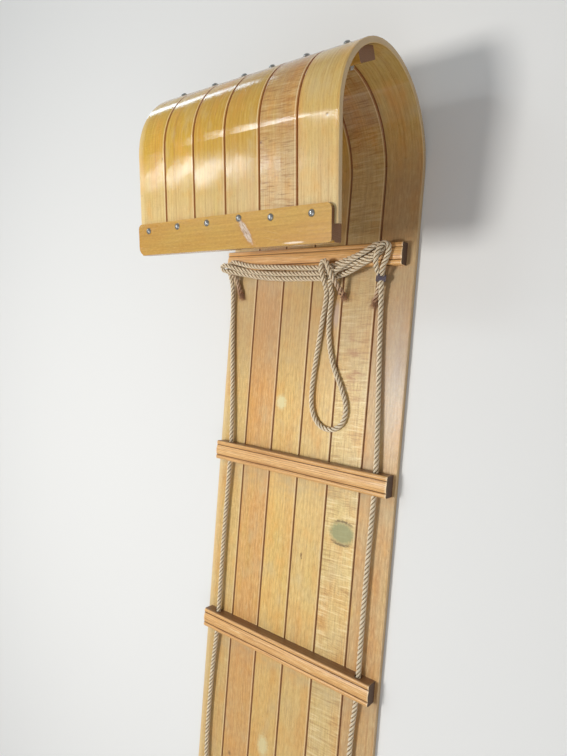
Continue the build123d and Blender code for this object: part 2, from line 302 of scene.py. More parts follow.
# A laid rope with its loose fibres as one mesh, and the points it follows
def ropePiece(name, line, shape=ropeShape, fray=(0.0, 0.0), seed=1):
    (points, quads, caps, uv), frames = laidRope(line, shape, fray, seed)
    points[:, 2] = np.maximum(points[:, 2], deckTop + shape["aboveDeck"])
    outward, nearest = radialDistance(points, frames[0])
    outward = np.clip(outward / (shape["diameter"] / 2), 0, 1.3)
    along = frames[4]
    ending = np.zeros(len(along))
    for reach, distance in ((fray[0], along), (fray[1], along[-1] - along)):
        if reach:
            ending = np.maximum(ending, np.clip(1 - distance / (2.2 * reach), 0, 1))
    loose = hairs(frames, shape, int(along[-1] / shape["hairEvery"]), seed + 50)
    looseCount = len(loose[0])
    obj = ropeMesh(name, [(points, quads, caps, uv, outward, ending[nearest]),
                          (*loose, np.ones(looseCount), np.full(looseCount, 0.35))])
    return obj, frames[0]


# The fibres of a cut end: end + way * t + bend * t ** 1.7, fanned about the rope's last direction
def ropeTuft(name, line, count, seed, shape=ropeShape):
    draw = np.random.default_rng(seed)
    way = line[-1] - line[-3]
    way /= np.linalg.norm(way)
    burst = draw.normal(0, 1, (count, 3))
    burst -= (burst @ way)[:, None] * way
    t = np.linspace(0, 1, 6)
    back, out = shape["tuftRoot"]
    start = line[-1] - way * back + burst * out
    reach = shape["tuftLength"] * draw.uniform(0.45, 1.0, count)
    bend = burst * shape["tuftSpread"] * draw.uniform(0.2, 1.0, (count, 1))
    path = start[:, None] + way * (reach[:, None] * t)[..., None] + bend[:, None] * (t ** 1.7)[:, None]
    path[..., 2] = np.maximum(path[..., 2], deckTop + shape["tuftAboveDeck"])
    made = fibreTubes(path, shape["tuftRadius"])
    return ropeMesh(name, [(*made, np.ones(len(made[0])), np.ones(len(made[0])))])


# Each surface point's distance from the nearest point of the line, and which point that is
def radialDistance(points, line):
    tree = kdtree.KDTree(len(line))
    for i, place in enumerate(line):
        tree.insert(place, i)
    tree.balance()
    found = [tree.find(p) for p in points]
    return np.array([f[2] for f in found]), np.array([f[1] for f in found])


# The side ropes: straight through each hole, slack between crossbars, as the frame has them
sideSpans = [
    # crossbar behind the span, place along it, left sway, right sway
    (5, 0.45, -0.005, 0.004),
    (4, 0.35, -0.009, -0.003),
    (4, 0.75, -0.006, -0.005),
    (3, 0.55, -0.003, -0.002),
]


def fromFront(points):
    return [(x, frontY + y, z) for x, y, z in points]


stopperKnot = {
    "coil": 0.0094,        # control radius of the coil round the rope
    "height": 0.0140,      # of its middle above the deck
    "first": 0.0262,       # behind the crossbar's rear face, where the coil starts
    "last": 0.0092,
    "steps": 12,
    # beside the rope, behind the rear face and above the deck
    "tail": [(0.010, 0.0110, 0.0052), (0.021, 0.0160, 0.0052), (0.029, 0.0280, 0.0052)],
    # behind the rear face and above the coil's middle
    "inward": [(0.0345, 0.0075), (0.0320, 0.0), (0.0180, 0.0), (0.0070, -0.0015)],
}


# A stopper knot from its cut end: the tail on the deck, a turn and a half back round the rope, into the hole
def knotRoute(x, y, side, shape):
    rear = y - (frontHigh[1] - frontLow[1]) / 2
    middle = deckTop + shape["height"]
    tail = [(x + side * out, rear - back, deckTop + up) for out, back, up in reversed(shape["tail"])]
    coil = []
    for k in range(shape["steps"] + 1):
        angle = k * 3 * pi / shape["steps"]
        back = shape["first"] + (shape["last"] - shape["first"]) * k / shape["steps"]
        coil.append((x - side * shape["coil"] * sin(angle), rear - back, middle + shape["coil"] * cos(angle)))
    return tail + coil[::-1] + [(x, rear - back, middle + up) for back, up in shape["inward"]]


def sideRoute(side):
    points = knotRoute(holeX(5, side), barY[5], side, stopperKnot)
    for number in (5, 4, 3, 2):
        x, y = holeX(number, side), barY[number]
        points += [(x, y - holeLead, holeZ), (x, y + holeLead, holeZ)]
        for behind, share, left, right in sideSpans:
            if behind == number:
                sway = left if side < 0 else right
                points.append((x + sway, y + share * (barY[number - 1] - y), holeZ - 0.002))
    return points


leftRoute = sideRoute(-1) + fromFront([
    (-0.1755, -0.251, 0.016), (-0.186, -0.16, 0.015), (-0.1915, -0.09, 0.0155), (-0.194, -0.045, 0.0175),
    (-0.194, -0.024, 0.0296), (-0.192, -0.012, 0.0341), (-0.189, -0.006, 0.0331),
])
# the right one hooks over the pull rope's far fold and comes back to the tape
rightRoute = sideRoute(1) + fromFront([
    (0.16, -0.235, 0.0165), (0.1525, -0.125, 0.0165), (0.151, -0.078, 0.0181), (0.1514, -0.05, 0.0226),
    (0.1532, -0.034, 0.0276), (0.157, -0.023, 0.0336), (0.1622, -0.01, 0.0336), (0.1665, 0.003, 0.0336),
    (0.166, 0.013, 0.0351), (0.159, 0.016, 0.0391), (0.1525, 0.008, 0.0436), (0.1495, -0.004, 0.0441),
    (0.147, -0.016, 0.0411), (0.1442, -0.026, 0.0306), (0.1454, -0.035, 0.0186), (0.1456, -0.044, 0.0169),
])

# The pull rope: four passes along the front crossbar, over the bundle, the hanging loop and its cut end
pullRoute = [
    # first pass, along the crossbar's top edge to the right
    (-0.189, -0.006, 0.0331), (-0.184, -0.002, 0.0331), (-0.17, -0.005, 0.0331), (-0.14, -0.012, 0.0333),
    (-0.105, -0.0155, 0.0333), (-0.06, -0.017, 0.0333), (-0.015, -0.019, 0.0333), (0.025, -0.021, 0.0333),
    (0.055, -0.019, 0.0333), (0.085, -0.009, 0.0333), (0.11, -0.001, 0.0333), (0.13, 0.008, 0.0333),
    (0.142, 0.015, 0.0333), (0.15, 0.012, 0.0333),
    # second pass, back to the left behind the crossbar
    (0.147, 0.0045, 0.0333), (0.132, -0.004, 0.0333), (0.112, -0.0115, 0.0333), (0.088, -0.019, 0.0333),
    (0.06, -0.0265, 0.029), (0.03, -0.0285, 0.023), (-0.015, -0.027, 0.0165), (-0.07, -0.0262, 0.015),
    (-0.115, -0.0245, 0.02), (-0.15, -0.0205, 0.03), (-0.176, -0.015, 0.04), (-0.193, -0.01, 0.043),
    (-0.2035, -0.011, 0.043), (-0.2035, -0.019, 0.04),
    # third pass, outermost, to the far right
    (-0.19, -0.0225, 0.038), (-0.158, -0.0265, 0.028), (-0.122, -0.0325, 0.0185), (-0.075, -0.036, 0.0143),
    (-0.025, -0.0362, 0.0143), (0.02, -0.0375, 0.018), (0.055, -0.037, 0.024), (0.078, -0.033, 0.0275),
    (0.098, -0.027, 0.0325), (0.115, -0.019, 0.0345), (0.131, -0.0105, 0.0335), (0.144, -0.002, 0.0335),
    (0.155, 0.005, 0.0335), (0.156, 0.0125, 0.0345), (0.148, 0.015, 0.039),
    # fourth pass, back to the middle
    (0.139, 0.009, 0.0425), (0.12, -0.001, 0.0428), (0.098, -0.012, 0.0428), (0.078, -0.023, 0.0425),
    (0.064, -0.033, 0.04), (0.053, -0.044, 0.032), (0.05, -0.055, 0.0225),
    # the hanging loop
    (0.051, -0.066, 0.0165), (0.046, -0.108, 0.0141), (0.05, -0.15, 0.0141), (0.062, -0.193, 0.0141),
    (0.084, -0.23, 0.0141), (0.099, -0.265, 0.0141), (0.094, -0.295, 0.0141), (0.07, -0.311, 0.0141),
    (0.04, -0.304, 0.0141), (0.022, -0.275, 0.0141), (0.021, -0.225, 0.0141), (0.027, -0.165, 0.0141),
    (0.033, -0.108, 0.0141), (0.0395, -0.066, 0.0165),
    # over the bundle, round and down again to the cut end
    (0.041, -0.05, 0.027), (0.041, -0.038, 0.037), (0.04, -0.022, 0.043), (0.042, -0.0105, 0.044),
    (0.052, -0.011, 0.0455), (0.059, -0.022, 0.049), (0.065, -0.034, 0.0495), (0.069, -0.046, 0.04),
    (0.0715, -0.057, 0.027), (0.074, -0.068, 0.018),
]
leftTail = [
    (-0.1835, -0.027, 0.0301), (-0.183, -0.036, 0.0191), (-0.18, -0.047, 0.0146), (-0.172, -0.066, 0.0141),
]
rightTail = [
    (0.1456, -0.044, 0.0169), (0.142, -0.06, 0.0141), (0.137, -0.08, 0.0141),
]


ropes = {}
# name, route, the nodes that it stands for, seed, how far its two ends fray, and how many fibres each end has
for name, route, nodes, seed, fray, tufts in (
    ("sideRopeLeft", leftRoute, ("side_rope_left",), 11, (0.010, 0), (90, 0)),
    ("sideRopeRight", rightRoute, ("side_rope_right",), 12, (0.010, 0), (90, 0)),
    ("pullRope", fromFront(pullRoute), ("pull_rope_hank", "pull_rope_loop"), 13, (0, 0.022), (0, 260)),
    ("ropeTailLeft", fromFront(leftTail), ("rope_tail_left",), 14, (0, 0.026), (0, 240)),
    ("ropeTailRight", fromFront(rightTail), ("rope_tail_right",), 15, (0, 0.014), (0, 200)),
):
    rope, centres = ropePiece(name, smoothLine(name + "Line", route), fray=fray, seed=seed)
    sides = zip(tufts, (centres[::-1], centres), ("FrayStart", "Fray"))
    ends = [ropeTuft(name + label, followed, count, seed + 20) for count, followed, label in sides if count]
    length = float(np.linalg.norm(np.diff(centres, axis=0), axis=1).sum())
    ropes[name] = {"rope": rope, "ends": ends, "centres": centres, "length": length}
    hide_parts(*nodes)
    for piece in [rope, *ends]:
        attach(piece, "root")
    print(name, "length", round(length, 3), "faces", len(rope.data.polygons))

print("ropes made")


# A value on its way between shader nodes; arithmetic on it adds the Math node that works it out
class Wire:
    def __init__(self, wires, socket):
        self.wires = wires
        self.socket = socket

    def __rsub__(self, other):
        return self.wires.math("SUBTRACT", other, self)

    # start where this value is at low, end where it is at high, and even between them
    def span(self, low, high, start=0.0, end=1.0):
        return self.wires.add("MapRange", {0: self, 1: low, 2: high, 3: start, 4: end})

    def rise(self, low, high, share=1.0):
        return self.span(low, high, 0.0, share)

    def clamped(self):
        self.socket.node.use_clamp = True
        return self


# each sign of arithmetic adds the Math node of this name
signs = {"add": "ADD", "sub": "SUBTRACT", "mul": "MULTIPLY", "truediv": "DIVIDE", "pow": "POWER",
         "gt": "GREATER_THAN", "lt": "LESS_THAN", "abs": "ABSOLUTE"}
for sign, operation in signs.items():
    setattr(Wire, f"__{sign}__", lambda *values, kind=operation: values[0].wires.math(kind, *values))


def larger(first, second):
    return first.wires.math("MAXIMUM", first, second)


def smaller(first, second):
    return first.wires.math("MINIMUM", first, second)


# The distance from the middle of two directions: the root of a * a + b * b
def fromMiddleOf(a, b):
    return a.wires.math("SQRT", a * a + b * b)


# A colour written as it shows on a screen, 0 to 255, turned into the linear value that a shader takes
def tint(red, green, blue):
    shares = np.array((red, green, blue)) / 255
    linear = np.where(shares > 0.04045, ((shares + 0.055) / 1.055) ** 2.4, shares / 12.92)
    return (*(float(v) for v in linear), 1.0)


# A node tree that is being filled: each call adds one node with its links and values, and gives its output
class Wires:
    def __init__(self, tree):
        self.tree = tree
        self.count = 0

    def place(self, node):
        node.location = (230 * (self.count % 10), -320 * (self.count // 10))
        self.count += 1
        return node

    def fill(self, sockets, values):
        for key, value in values.items():
            if isinstance(value, Wire):
                self.tree.links.new(value.socket, sockets[key])
            else:
                sockets[key].default_value = value

    def node(self, kind, inputs=None, **settings):
        node = self.place(self.tree.nodes.new("ShaderNode" + kind))
        for key, value in settings.items():
            setattr(node, key, value)
        self.fill(node.inputs, inputs or {})
        return node

    def add(self, kind, inputs=None, output=0, **settings):
        return Wire(self, self.node(kind, inputs, **settings).outputs[output])

    def outlets(self, node):
        return {socket.name: Wire(self, socket) for socket in node.outputs}

    def math(self, operation, *values):
        return self.add("Math", dict(enumerate(values)), operation=operation)

    def split(self, vector):
        return [Wire(self, socket) for socket in self.node("SeparateXYZ", {0: vector}).outputs]

    def vector(self, x, y, z):
        return self.add("CombineXYZ", {0: x, 1: y, 2: z})

    def noise(self, place, detail=3.0, roughness=0.55):
        return self.add("TexNoise", {"Vector": self.vector(*place), "Scale": 1.0, "Detail": detail,
                                     "Roughness": roughness})

    # a number between two others, by a share
    def between(self, share, first, second):
        return self.add("Mix", {0: share, 2: first, 3: second}, data_type="FLOAT")

    # a colour between two others; three numbers are a screen colour
    def mix(self, share, first, second):
        first, second = (tint(*c) if isinstance(c, tuple) else c for c in (first, second))
        return self.add("Mix", {0: share, 6: first, 7: second}, output=2, data_type="RGBA")

    # layers over a colour from the lowest to the top one, each with the share of it that shows
    def layered(self, colour, layers):
        for share, shade in layers:
            colour = self.mix(share, colour, shade)
        return colour

    # equal steps, one for each value: a number or a screen colour
    def steps(self, share, values):
        node = self.node("ValToRGB", {0: share})
        node.color_ramp.interpolation = "CONSTANT"
        elements = node.color_ramp.elements
        while len(elements) < len(values):
            elements.new(1.0)
        for number, (element, value) in enumerate(zip(elements, values)):
            element.position = number / len(values)
            element.color = tint(*value) if isinstance(value, tuple) else (value, value, value, 1.0)
        return Wire(self, node.outputs[0])

    def bump(self, height, strength, distance=0.0004):
        return self.add("Bump", {"Strength": strength, "Distance": distance, "Height": height})

    def use(self, group, inputs):
        return self.outlets(self.node("Group", inputs, node_tree=group))


# A node group with named inputs, each with its first value, and named outputs, all of them numbers
def shaderGroup(name, inputs, outputs):
    group = bpy.data.node_groups.new(name, "ShaderNodeTree")
    for label, value in inputs.items():
        kind = "NodeSocketVector" if isinstance(value, tuple) else "NodeSocketFloat"
        group.interface.new_socket(label, in_out="INPUT", socket_type=kind).default_value = value
    for label in outputs:
        group.interface.new_socket(label, in_out="OUTPUT", socket_type="NodeSocketFloat")
    wires = Wires(group)
    given = wires.outlets(wires.place(group.nodes.new("NodeGroupInput")))
    return group, wires, given, group.nodes.new("NodeGroupOutput").inputs


def newMaterial(name):
    material = bpy.data.materials.new(name)
    material.use_nodes = True
    shader = material.node_tree.nodes["Principled BSDF"]
    shader.location = (2600, 0)
    material.node_tree.nodes["Material Output"].location = (2900, 0)
    return material, Wires(material.node_tree), shader.inputs


# Grain of a sawn board: lengthwise streaks at three widths and growth lines, from metres along and across
def makeGrainGroup():
    group, wires, given, wanted = shaderGroup(
        "boardGrain", {"Along": 0.0, "Across": 0.0, "Depth": 0.0, "Seed": 0.0},
        ("Blotch", "Streak", "Fibre", "Growth", "Fleck"))
    along, across, depth, seed = (given[k] for k in ("Along", "Across", "Depth", "Seed"))

    def stretched(lengthScale, widthScale, shift, detail, roughness=0.6):
        place = (along * lengthScale, across * widthScale, depth * widthScale + (seed + shift))
        return wires.noise(place, detail, roughness)

    drift = stretched(1.6, 9.0, 13.7, 2.0, 0.5)
    rings = across * 150.0 + drift * 11.0 + depth * 170.0
    wires.fill(wanted, {
        "Blotch": stretched(7.0, 22.0, 0.0, 3.0),
        "Streak": stretched(3.5, 230.0, 5.1, 3.0),
        "Fibre": stretched(45.0, 1500.0, 9.3, 2.0),
        "Growth": wires.math("FRACT", rings) ** 3.0,
        "Fleck": stretched(330.0, 2300.0, 21.9, 1.0, 0.5).rise(0.66, 0.78),
    })
    return group


# The slats unrolled: how far along the bend a point is, how far across its own slat, and which slat it is
def makeUnrollGroup(shape):
    group, wires, given, wanted = shaderGroup(
        "slatUnrolled", {"Position": (0.0, 0.0, 0.0)}, ("Along", "Across", "Slat", "Curl"))
    x, y, z = wires.split(given["Position"])
    lowY, lowZ = shape["noseY"] - shape["lowerRadius"], shape["lowerRadius"]
    highY = shape["noseY"] - shape["upperRadius"]
    half = shape["slatThickness"] / 2
    lowReach, highReach = shape["lowerRadius"] - half, shape["upperRadius"] - half
    lowTurn = wires.math("ARCTAN2", y - lowY, lowZ - z)
    bottom = smaller(y, lowY) + larger(lowTurn, 0.0) * lowReach
    highTurn = smaller(wires.math("ARCTAN2", z - lowZ, y - highY), pi / 2 + shape["lipSlope"])
    lipY = highY - highReach * sin(shape["lipSlope"])
    lip = larger(lipY - y, 0.0) / cos(shape["lipSlope"])
    top = highTurn * highReach + lip + (lowY + lowReach * pi / 2)
    along = wires.between(z > lowZ, bottom, top)
    pitch = shape["slatPitch"]
    counted = (x + 3 * pitch) / pitch
    wires.fill(wanted, {
        "Along": along,
        "Across": (wires.math("FRACT", counted) - 0.5) * pitch,
        "Slat": wires.math("FLOOR", counted),
        "Curl": along.rise(lowY - 0.02, lowY + 0.10),
    })
    return group


# A worn or stained spot: 1 inside an ellipse and 0 outside, its edge roughened by noise
def makeSpotGroup():
    group, wires, given, wanted = shaderGroup(
        "spotMask", {"X": 0.0, "Along": 0.0, "Middle X": 0.0, "Middle Along": 0.0, "Half Width": 0.01,
                     "Half Length": 0.01, "Roughness": 0.4, "Softness": 0.3}, ("Mask", "Distance"))
    x, along = given["X"], given["Along"]
    radius = fromMiddleOf((x - given["Middle X"]) / given["Half Width"],
                          (along - given["Middle Along"]) / given["Half Length"])
    rough = wires.noise((x * 260.0, along * 260.0, 0.0), 3.0, 0.6)
    distance = radius + (rough - 0.5) * given["Roughness"]
    wires.fill(wanted, {"Mask": distance.span(1.0 - given["Softness"], 1.05, 1.0, 0.0), "Distance": distance})
    return group


# Fine scratches in three slanting directions, from metres
def makeScratchGroup():
    group, wires, given, wanted = shaderGroup("fineScratches", {"X": 0.0, "Along": 0.0}, ("Mask",))
    found = []
    for slant, shift in ((0.22, 3.0), (-0.35, 8.0), (0.03, 15.0)):
        across = given["X"] + given["Along"] * slant
        found.append(wires.noise((across * 900.0, given["Along"] * 14.0, shift), 1.0, 0.5).rise(0.735, 0.775))
    wires.fill(wanted, {"Mask": reduce(larger, found)})
    return group


sledShape = {
    "noseY": float(cadBounds[1][1]),
    "lowerRadius": 0.145,
    "upperRadius": 0.119,
    "slatThickness": 0.009,
    "slatPitch": 0.0678,
    "slatHalf": 0.0335,
    "lipSlope": radians(7.5),
}
grainGroup = makeGrainGroup()
unrollGroup = makeUnrollGroup(sledShape)
spotGroup = makeSpotGroup()
scratchGroup = makeScratchGroup()


# The spot group at a place: its middle across and along, its half width and half length
def spotAt(wires, x, along, place, roughness, softness):
    labels = ("X", "Along", "Roughness", "Softness", "Middle X", "Middle Along", "Half Width", "Half Length")
    return wires.use(spotGroup, dict(zip(labels, (x, along, roughness, softness, *place))))


# The place on a piece as three numbers, and how far its surface faces each way
def placeAndFacing(wires):
    sources = wires.add("TexCoord", output="Object"), wires.add("NewGeometry", output="Normal")
    return [wires.split(source) for source in sources]


slatLook = {
    # colour on the deck and on the curl, how curly the grain is, how strong the growth lines are
    "slats": [
        ((216, 183, 116), (210, 170, 62), 0.34, 0.35),
        ((218, 168, 102), (206, 164, 56), 0.10, 0.55),
        ((228, 190, 114), (200, 158, 56), 0.08, 0.60),
        ((226, 192, 122), (194, 152, 60), 0.12, 0.35),
        ((228, 200, 136), (190, 150, 92), 0.95, 0.25),
        ((208, 174, 124), (208, 176, 104), 0.15, 0.60),
    ],
    "rippleLength": 0.0042,
    "edgeBrown": (136, 88, 50),
    "curlEdge": (158, 96, 46),
    "streakBrown": (168, 108, 52),
    "amber": (214, 138, 52),
    "running": (196, 164, 116),
    "endGrain": (150, 104, 62),
    # painted highlight colour, for the lines beside the seams and the lit edges
    "rubbedEdge": (244, 222, 176),
    # spots: middle across the sled and along the unrolled slat, half width, half length
    "knots": [
        (0.0230, 0.0915, 0.0030, 0.0060),
        (0.0245, 0.0860, 0.0020, 0.0026),
        (-0.1160, -0.3615, 0.0045, 0.0060),
        (0.0710, 1.2060, 0.0042, 0.0020),
        (-0.1980, 1.2510, 0.0014, 0.0016),
        (-0.1420, 1.1980, 0.0012, 0.0040),
        (0.1840, 1.1890, 0.0030, 0.0030),
        (0.0620, -0.6300, 0.0030, 0.0050),
    ],
    # pale spots where the lacquer has lifted, a painted grey sheen on the outer slat, and a painted sheen
    # spot
    "pale": [(-0.0520, 0.3705, 0.0145, 0.0165), (-0.0325, -0.3050, 0.0155, 0.0250)],
    "greyed": [(0.1850, 0.4450, 0.0380, 0.1500)],
    "haze": [(0.0585, 0.5410, 0.0085, 0.0290)],
    "heart": (0.108, 0.455, 0.030, 0.110),
    "stain": (0.1070, 0.1541, 0.0280, 0.0210),
    # along the slat: where painted shade comes in on both sides of the deck's bright middle, and where its
    # end gets paler
    "soiledTail": (0.01, -0.13),
    "soiledNose": (0.39, 0.50),
    "paler": (1.195, 1.280),
    # from a crossbar's middle to its rear face, and how far the dust lies behind it
    "barHalf": 0.0185,
    "dustReach": 0.055,
    "runningHeight": 0.02,
    "tailFace": 0.0012,
    # from a slat's middle line: the eased edge, and the two sides of the painted highlight line beside it
    "edge": (0.0308, 0.0324),
    "rubbed": ((0.0288, 0.0302), (0.0314, 0.0306)),
    # from the sled's middle line: the end of the painted highlight lines, the outer sides, their edge, and
    # the lit side
    "rubbedTo": 0.190,
    "outer": 0.200,
    "outerEdge": (0.2018, 0.2030),
    "litSide": (-0.188, -0.200),
}


# Each slat's own colours, broad blotches, its paler end at the nose, streaks, growth lines and flecks
def slatGrain(wires, look, grain, along, curl, slat):
    step = (slat + 0.5) / 6.0
    deckColour, curlColour, curly, lined = (wires.steps(step, column) for column in zip(*look["slats"]))
    blotch, streak = grain["Blotch"], grain["Streak"]
    return wires.layered(wires.mix(curl, deckColour, curlColour), [
        (blotch.rise(0.50, 0.72, 0.42), look["amber"]),
        (along.rise(*look["paler"], 0.38), (238, 228, 192)),
        (blotch.rise(0.46, 0.28, 0.30), (208, 184, 100)),
        (streak.rise(0.50, 0.74, 0.34), look["streakBrown"]),
        (streak.rise(0.46, 0.26, 0.20), (240, 210, 138)),
        (grain["Growth"] * (lined * 0.42), look["streakBrown"]),
        (grain["Fibre"].rise(0.52, 0.76, 0.40), (150, 104, 58)),
        (grain["Fleck"] * 0.45, (112, 72, 40)),
    ]), curly


# Mottled lacquer: short lengthwise patches, fine brown lines, hand-sized yellow and grey patches, dark dashes
def mottledLacquer(wires, colour, x, along, curl):
    mottle = wires.noise((along * 70.0, x * 250.0, 31.0), 4.0, 0.65)
    pencil = wires.noise((along * 6.0, x * 640.0, 61.0), 2.0, 0.6)
    cloud = wires.noise((along * 17.0, x * 27.0, 41.0), 3.0, 0.55)
    dash = wires.noise((along * 130.0, x * 620.0, 51.0), 2.0, 0.6)
    flat = 1.0 - curl * 0.65
    return wires.layered(colour, [
        (mottle.rise(0.50, 0.70, 0.34) * flat, (150, 104, 58)),
        (mottle.rise(0.48, 0.30, 0.28) * flat, (252, 230, 172)),
        (pencil.rise(0.58, 0.68, 0.42), (158, 104, 44)),
        (cloud.rise(0.52, 0.70, 0.34), (226, 158, 62)),
        (cloud.rise(0.46, 0.30, 0.30), (198, 182, 142)),
        (dash.rise(0.64, 0.74, 0.48), (122, 80, 44)),
    ])


# Curly figure: short bands across the grain, bent and broken up by noise, longer wavy marks on the curliest
# slats, and fine brown lines among them on the curl
def curlyFigure(wires, look, colour, x, along, curl, curly):
    wobble = wires.noise((along * 16.0, x * 34.0, 4.0), 3.0, 0.6)
    wave = wires.math("SINE", (along / look["rippleLength"] + wobble * 5.0) * (2 * pi))
    patches = wires.noise((along * 11.0, x * 26.0, 9.0), 2.0, 0.5)
    breaks = wires.noise((along * 190.0, x * 75.0, 5.0), 3.0, 0.65)
    strength = curly * patches.span(0.36, 0.62, 0.15, 1.0) * breaks.rise(0.38, 0.62)
    slanted = along - x * 0.06
    figure = wires.noise((slanted * 230.0, x * 20.0, 71.0), 3.0, 0.55)
    hairline = wires.noise((slanted * 460.0, x * 30.0, 81.0), 2.0, 0.6)
    curlier = curly * curly
    return wires.layered(colour, [
        (wave.rise(-0.1, 1.0) * strength * 0.28, (176, 120, 66)),
        (wave.rise(0.1, -1.0) * strength * curl.span(0.0, 1.0, 0.26, 0.08), (248, 228, 176)),
        (figure.rise(0.55, 0.66, 0.44) * curlier, (156, 100, 54)),
        (hairline.rise(0.57, 0.65, 0.46) * (curlier * curl), (128, 76, 42)),
        (figure.rise(0.46, 0.34) * (wires.between(curl, 0.50, 0.15) * curlier), (252, 234, 184)),
    ]), wave * strength


# Reddish heart marks, knots, pale spots, a painted sheen spot, a painted grey sheen, and the round stain with
# its dark rim
def spotsAndStain(wires, look, colour, x, along):
    def spots(rows, roughness, softness):
        return reduce(larger, [spotAt(wires, x, along, row, roughness, softness)["Mask"] for row in rows])

    heart = wires.noise((along * 70.0, x * 16.0, 2.0), 3.0, 0.65).rise(0.52, 0.64)
    knots = spots(look["knots"], 1.1, 0.8)
    stain = spotAt(wires, x, along, look["stain"], 0.5, 0.30)
    unused, stainAlong, unused, halfLength = look["stain"]
    rim = stain["Distance"].rise(0.84, 0.98) * stain["Distance"].rise(1.16, 1.02)
    rimEnds = abs(along - stainAlong).rise(halfLength * 0.6, halfLength * 0.95)
    return wires.layered(colour, [
        (heart * spots([look["heart"]], 0.8, 0.6) * 0.6, (172, 106, 66)),
        (knots * 0.75, (104, 66, 40)),
        (spots(look["pale"], 0.9, 0.5) * 0.66, (226, 222, 174)),
        # painted sheen of the lacquer in two places, one pale and one grey
        (spots(look["haze"], 0.3, 0.5) * 0.62, (204, 188, 182)),
        (spots(look["greyed"], 0.7, 0.95) * 0.42, (188, 190, 194)),
        (stain["Mask"] * 0.84, (144, 147, 104)),
        (rim * rimEnds * 0.8, (96, 80, 52)),
    ]), knots


# Lacquered slats: the grain and figure, spots, painted shade and dust, scrapes, edges with painted
# highlights, and end grain, one over another
def makeSlatMaterial(look):
    material, wires, shader = newMaterial("slatWood")
    (x, y, z), (normalX, normalY, normalZ) = placeAndFacing(wires)
    place = wires.use(unrollGroup, {"Position": wires.add("TexCoord", output="Object")})
    along, across, slat, curl = place["Along"], place["Across"], place["Slat"], place["Curl"]
    grain = wires.use(grainGroup, {"Along": along, "Across": across, "Depth": 0.0, "Seed": slat * 7.31})
    colour, curly = slatGrain(wires, look, grain, along, curl, slat)
    colour = mottledLacquer(wires, colour, x, along, curl)
    colour, ripples = curlyFigure(wires, look, colour, x, along, curl, curly)
    colour, knots = spotsAndStain(wires, look, colour, x, along)

    # painted shade darkens the deck towards the tail and towards the nose, leaving the second bay's middle
    # bright; dust lies behind each crossbar
    paintedShade = larger(y.rise(*look["soiledTail"], 0.22), y.rise(*look["soiledNose"], 0.42))
    behindBars = [middle - look["barHalf"] - y for middle in barY.values()]
    dust = reduce(larger, [b.span(0.0, look["dustReach"], 1.0, 0.0) * (b > 0.0) for b in behindBars])
    dust = dust * wires.noise((x * 40.0, y * 60.0, 0.0), 4.0).rise(0.30, 0.62) * (curl < 0.1)
    # the running face is paler and scraped lengthwise
    onFloor = normalZ.rise(-0.75, -0.95) * (z < look["runningHeight"])
    scrape = wires.noise((x * 1300.0, along * 5.0, 1.0), 2.0, 0.6)
    scratches = wires.use(scratchGroup, {"X": x, "Along": along})["Mask"]
    # eased edges hold dirt, and side faces are darker in the seams; painted highlight lines run beside the
    # seams, and painted light makes the two outer edges and the left side paler
    highlightIn, highlightOut = (across.rise(*ends) for ends in look["rubbed"])
    outer = abs(x) > look["outer"]
    seam = abs(across).rise(*look["edge"]) * (1.0 - outer)
    lit = larger(outer * abs(x).rise(*look["outerEdge"]), x.rise(*look["litSide"], 0.85))
    # end grain at the tail and under the nose board
    tail = y < -sledShape["noseY"] + look["tailFace"]
    pores = wires.noise((x * 1400.0, 0.0, z * 1400.0), 2.0).rise(0.35, 0.65)
    colour = wires.layered(colour, [
        # painted shade towards both ends of the deck
        (paintedShade * (1.0 - curl), (156, 126, 92)),
        (dust * 0.55, (174, 158, 126)),
        (onFloor * 0.65, look["running"]),
        (onFloor * scrape.rise(0.55, 0.70) * 0.5, (140, 112, 76)),
        (scratches * (0.30 - curl * 0.20), (238, 220, 178)),
        # painted highlight beside each seam, where the eased edge would catch the light
        (highlightIn * highlightOut * (x < look["rubbedTo"]) * 0.55, look["rubbedEdge"]),
        (seam * 0.84, wires.mix(curl, look["edgeBrown"], look["curlEdge"])),
        # painted light on the outer edges and the left side
        (lit * 0.45, look["rubbedEdge"]),
        (abs(normalX).rise(0.75, 0.95) * outer * 0.75, (178, 144, 98)),
        (tail * abs(normalY).rise(0.6, 0.8), wires.mix(pores, look["endGrain"], (196, 152, 98))),
    ])

    worn = grain["Blotch"].span(0.3, 0.7, -0.03, 0.04) + scratches * 0.18
    rough = wires.between(curl, 0.40, 0.085) + worn + dust * 0.25 + onFloor * 0.12
    coat = wires.between(curl, 0.10, 0.05) * (1.0 - larger(seam, onFloor))
    # the bump has the grain, a slow swell along the slat and a crown across it
    swell = wires.noise((x * 22.0, along * 11.0, 3.0), 2.0)
    crown = across / sledShape["slatHalf"]
    height = grain["Fibre"] * 0.25 + grain["Streak"] * 0.35 - scratches * 0.25 + ripples * 0.06 - knots * 0.5
    height = height + swell * 2.6 - crown * crown * 2.2
    wires.fill(shader, {"Base Color": colour, "Roughness": rough.clamped(), "Coat Weight": coat.clamped(),
                        "Coat Roughness": 0.16, "Normal": wires.bump(height, 0.60)})
    return material


crossbarLook = {
    "base": (234, 184, 118),
    "dark": (158, 100, 50),
    "line": (104, 62, 34),
    "shadeBrown": (96, 62, 40),
    "worn": (250, 220, 168),
    "endDark": (74, 54, 42),
    "endPale": (112, 86, 66),
    "holeBrown": (70, 44, 28),
    # from a bar's middle to its ends: the worn edge, and where the end face starts
    "endEdge": (0.1918, 0.1945),
    "endFace": 0.190,
    # from a bar's middle line: the two sides of the groove, darkened with painted shade, and the bead between
    # the grooves, with pale wear and a painted highlight
    "groove": ((0.0086, 0.0095), (0.0112, 0.0102)),
    "rubbedTop": (0.0075, 0.0050),
    # from a rope hole's middle: the rubbed ring and the inside, which is painted dark as shade
    "holeRing": (0.0092, 0.0064),
    "holeInside": (0.0066, 0.0061),
}


